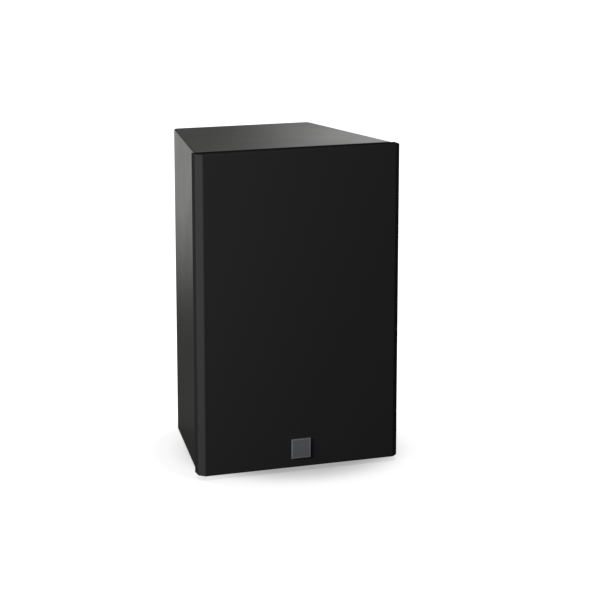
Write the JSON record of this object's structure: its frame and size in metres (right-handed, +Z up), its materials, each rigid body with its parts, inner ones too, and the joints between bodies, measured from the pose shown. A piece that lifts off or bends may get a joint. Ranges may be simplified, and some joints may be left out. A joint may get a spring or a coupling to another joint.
{
  "type": "bookshelf speaker",
  "caption": "Compact two-way loudspeaker: a cabinet that narrows to the back, a pull-off cloth grille, woofer, dome tweeter, rear port and screw terminals.",
  "frame": {"origin": "on the surface that the feet stand on, under the middle of the overall box", "axes": "+Z up, +X to the right seen from the front, +Y towards the back; the grille faces -Y"},
  "size_m": [0.2056, 0.1808, 0.316],
  "materials": {
    "lacquer": "satin black lacquer on MDF",
    "baffle_paint": "matt black paint on MDF",
    "raw_board": "bare MDF",
    "wadding": "polyester wadding",
    "foot_rubber": "soft rubber",
    "black_plastic": "matt moulded plastic",
    "grille_cloth": "knitted acoustic cloth",
    "badge_metal": "dark anodised",
    "cast_frame": "powder-coated casting",
    "roll_rubber": "butyl rubber",
    "cone_paper": "coated paper",
    "former": "polyimide former",
    "copper": "enamelled copper wire",
    "spider_cloth": "resin-treated cotton",
    "plated_steel": "zinc-plated steel",
    "ferrite": "ferrite",
    "dome_silk": "coated silk",
    "screw_black": "blackened steel",
    "gold": "gold-plated brass",
    "red_plastic": "moulded plastic",
    "dark_plastic": "moulded plastic",
    "insert_brass": "brass",
    "board_green": "glass-epoxy board",
    "film": "film capacitor",
    "cement": "cement resistor",
    "wire_jacket": "PVC insulation"
  },
  "bodies": {
    "cabinet": {"cabinet_top": "lacquer", "cabinet_bottom": "lacquer", "cabinet_left_side": "lacquer", "cabinet_right_side": "lacquer", "cabinet_back": "lacquer", "front_baffle": "baffle_paint", "window_brace": "raw_board", "left_damping_pad": "wadding", "right_damping_pad": "wadding", "rubber_feet": "foot_rubber", "wall_mount_inserts": "insert_brass", "grille_sockets": "black_plastic", "woofer_basket": "cast_frame", "woofer_gasket": "foot_rubber", "woofer_screws": "screw_black", "woofer_terminals": "plated_steel", "woofer_surround": "roll_rubber", "woofer_spider": "spider_cloth", "woofer_top_plate": "plated_steel", "woofer_magnet": "ferrite", "woofer_yoke": "plated_steel", "tweeter_faceplate": "cast_frame", "tweeter_screws": "screw_black", "tweeter_terminals": "plated_steel", "tweeter_roll": "dome_silk", "tweeter_spacer": "black_plastic", "tweeter_top_plate": "plated_steel", "tweeter_magnet": "ferrite", "tweeter_yoke": "plated_steel", "port_tube": "black_plastic", "terminal_cup": "black_plastic", "terminal_cup_screws": "screw_black", "red_post_stem": "gold", "black_post_stem": "gold", "post_tags": "plated_steel", "post_nuts": "plated_steel", "crossover_board": "board_green", "crossover_standoffs": "black_plastic", "crossover_screws": "screw_black", "crossover_inductors": "copper", "crossover_capacitors": "film", "crossover_resistors": "cement", "woofer_wires": "wire_jacket", "tweeter_wires": "wire_jacket", "input_wires": "wire_jacket"},
    "grille": {"grille_frame": "black_plastic", "grille_cloth": "grille_cloth", "grille_pegs": "black_plastic", "badge": "badge_metal"},
    "woofer_diaphragm": {"woofer_cone": "cone_paper", "woofer_dust_cap": "cone_paper", "woofer_former": "former", "woofer_coil": "copper"},
    "tweeter_diaphragm": {"tweeter_dome": "dome_silk", "tweeter_coil": "copper"},
    "red_washer": {"red_post_washer": "gold"},
    "red_cap": {"red_post_cap": "red_plastic"},
    "black_washer": {"black_post_washer": "gold"},
    "black_cap": {"black_post_cap": "dark_plastic"}
  },
  "joints": [
    {"name": "grille_pull", "type": "slide", "parent": "cabinet", "child": "grille", "axis": [0, -1, 0], "range_m": [0, 0.06]},
    {"name": "woofer_travel", "type": "slide", "parent": "cabinet", "child": "woofer_diaphragm", "axis": [0, -1, 0], "range_m": [-0.004, 0.004], "stiffness_N_per_m": 1000, "deforming": ["woofer_surround", "woofer_spider"]},
    {"name": "tweeter_travel", "type": "slide", "parent": "cabinet", "child": "tweeter_diaphragm", "axis": [0, -1, 0], "range_m": [-0.0004, 0.0004], "stiffness_N_per_m": 3000, "deforming": ["tweeter_roll"]},
    {"name": "red_washer_travel", "type": "slide", "parent": "cabinet", "child": "red_washer", "axis": [0, 1, 0], "range_m": [0, 0.0035]},
    {"name": "red_cap_spin", "type": "hinge", "parent": "red_washer", "child": "red_cap", "pos_m": [0.0095, 0.07335, 0.075], "axis": [0, 1, 0], "range_deg": [0, 1262]},
    {"name": "black_washer_travel", "type": "slide", "parent": "cabinet", "child": "black_washer", "axis": [0, 1, 0], "range_m": [0, 0.0035]},
    {"name": "black_cap_spin", "type": "hinge", "parent": "black_washer", "child": "black_cap", "pos_m": [-0.0095, 0.07335, 0.075], "axis": [0, 1, 0], "range_deg": [0, 1262]}
  ],
  "couplings": [
    {"joint": "red_cap_spin", "follows": "red_washer_travel", "rad_per_m": 6283.2},
    {"joint": "black_cap_spin", "follows": "black_washer_travel", "rad_per_m": 6283.2}
  ]
}
